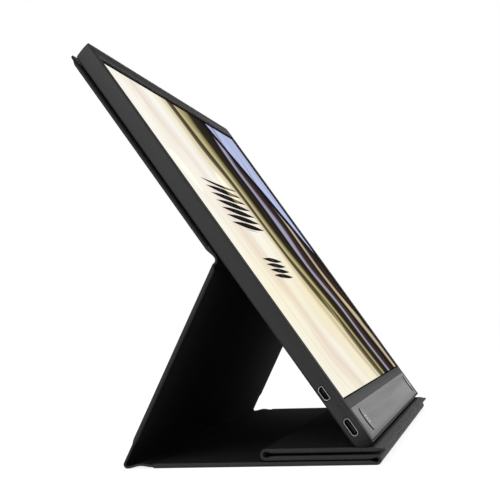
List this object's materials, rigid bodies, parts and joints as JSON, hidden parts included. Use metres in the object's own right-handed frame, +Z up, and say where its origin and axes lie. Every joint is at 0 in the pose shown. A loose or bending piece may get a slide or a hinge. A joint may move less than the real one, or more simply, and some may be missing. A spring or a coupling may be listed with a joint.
{
  "type": "portable monitor with cover",
  "caption": "Slim portable display standing on its folded leather-like cover, with side sockets and two press keys.",
  "frame": {"origin": "middle of the base panel's underside, on the table", "axes": "+X along the display's width, to the right as a person in front of it sees it; +Y backwards, away from that person; +Z up"},
  "size_m": [0.36, 0.1409, 0.1984],
  "materials": {
    "shell": "dark anodised metal, fine satin",
    "frame": "dark satin plastic",
    "trim": "silver grey, brushed along its length",
    "screen": "smooth screen surface showing a picture",
    "light_guide": "clear and white films",
    "tray": "thin pressed steel",
    "circuit_board": "green solder mask",
    "ribbon": "amber film ribbon",
    "chip": "black moulded chips",
    "screw_steel": "plated small screws",
    "socket_metal": "bright pressed metal",
    "socket_plastic": "black moulded tongue",
    "switch_metal": "small metal dome switch",
    "button": "silver grey cap",
    "pad": "thin black foam adhesive",
    "cover_skin": "dark grained leather-like skin",
    "cover_board": "hard fibre board",
    "cover_lining": "short black microfibre nap",
    "magnet": "nickel plated discs"
  },
  "bodies": {
    "base": {"base_skin": "cover_skin", "base_board": "cover_board", "base_lining": "cover_lining", "spine_strip": "cover_skin", "front_fold": "cover_skin", "foot_fold": "cover_skin"},
    "leg": {"leg_skin": "cover_skin", "leg_board": "cover_board", "leg_lining": "cover_lining", "upper_fold": "cover_skin"},
    "display": {"rear_shell": "shell", "front_frame": "frame", "trim_strip": "trim", "lcd_panel": "screen", "backlight_unit": "light_guide", "panel_tray": "tray", "driver_board": "circuit_board", "display_cable": "ribbon", "main_board": "circuit_board", "board_chips": "chip", "board_screws": "screw_steel", "usb_c_socket": "socket_metal", "usb_c_tongue": "socket_plastic", "micro_video_socket": "socket_metal", "micro_video_tongue": "socket_plastic", "power_board": "circuit_board", "button_switches": "switch_metal", "adhesive_pad": "pad", "upper_skin": "cover_skin", "upper_board": "cover_board", "upper_lining": "cover_lining"},
    "middle_flap": {"middle_skin": "cover_skin", "middle_board": "cover_board", "middle_lining": "cover_lining", "rear_fold": "cover_skin"},
    "front_flap": {"flap_skin": "cover_skin", "flap_board": "cover_board", "flap_lining": "cover_lining", "flap_magnets": "magnet"},
    "menu_key": {"menu_button": "button"},
    "power_key": {"power_button": "button"}
  },
  "joints": [
    {"name": "leg_fold", "type": "hinge", "parent": "base", "child": "leg", "pos_m": [0, 0.0645, 0.00112], "axis": [-1, 0, 0], "range_deg": [0, 119.6], "deforming": ["foot_fold"]},
    {"name": "display_fold", "type": "hinge", "parent": "leg", "child": "display", "pos_m": [0, 0.01857, 0.09409], "axis": [1, 0, 0], "range_deg": [0, 60.65], "deforming": ["upper_fold"]},
    {"name": "middle_fold", "type": "hinge", "parent": "base", "child": "middle_flap", "pos_m": [0, -0.05409, 0.0023], "axis": [1, 0, 0], "range_deg": [0, 119.65], "deforming": ["front_fold"]},
    {"name": "flap_fold", "type": "hinge", "parent": "middle_flap", "child": "front_flap", "pos_m": [0, 0.00174, 0.00525], "axis": [-1, 0, 0], "range_deg": [0, 119.65], "deforming": ["rear_fold"]},
    {"name": "menu_press", "type": "slide", "parent": "display", "child": "menu_key", "axis": [0, 0.829, -0.5592], "range_m": [0, 0.00035], "stiffness_N_per_m": 4000},
    {"name": "power_press", "type": "slide", "parent": "display", "child": "power_key", "axis": [0, 0.829, -0.5592], "range_m": [0, 0.00035], "stiffness_N_per_m": 4000}
  ],
  "couplings": [
    {"joint": "display_fold", "follows": "leg_fold", "ratio": 0.5067},
    {"joint": "middle_fold", "follows": "leg_fold", "ratio": 1},
    {"joint": "flap_fold", "follows": "leg_fold", "ratio": 1}
  ]
}
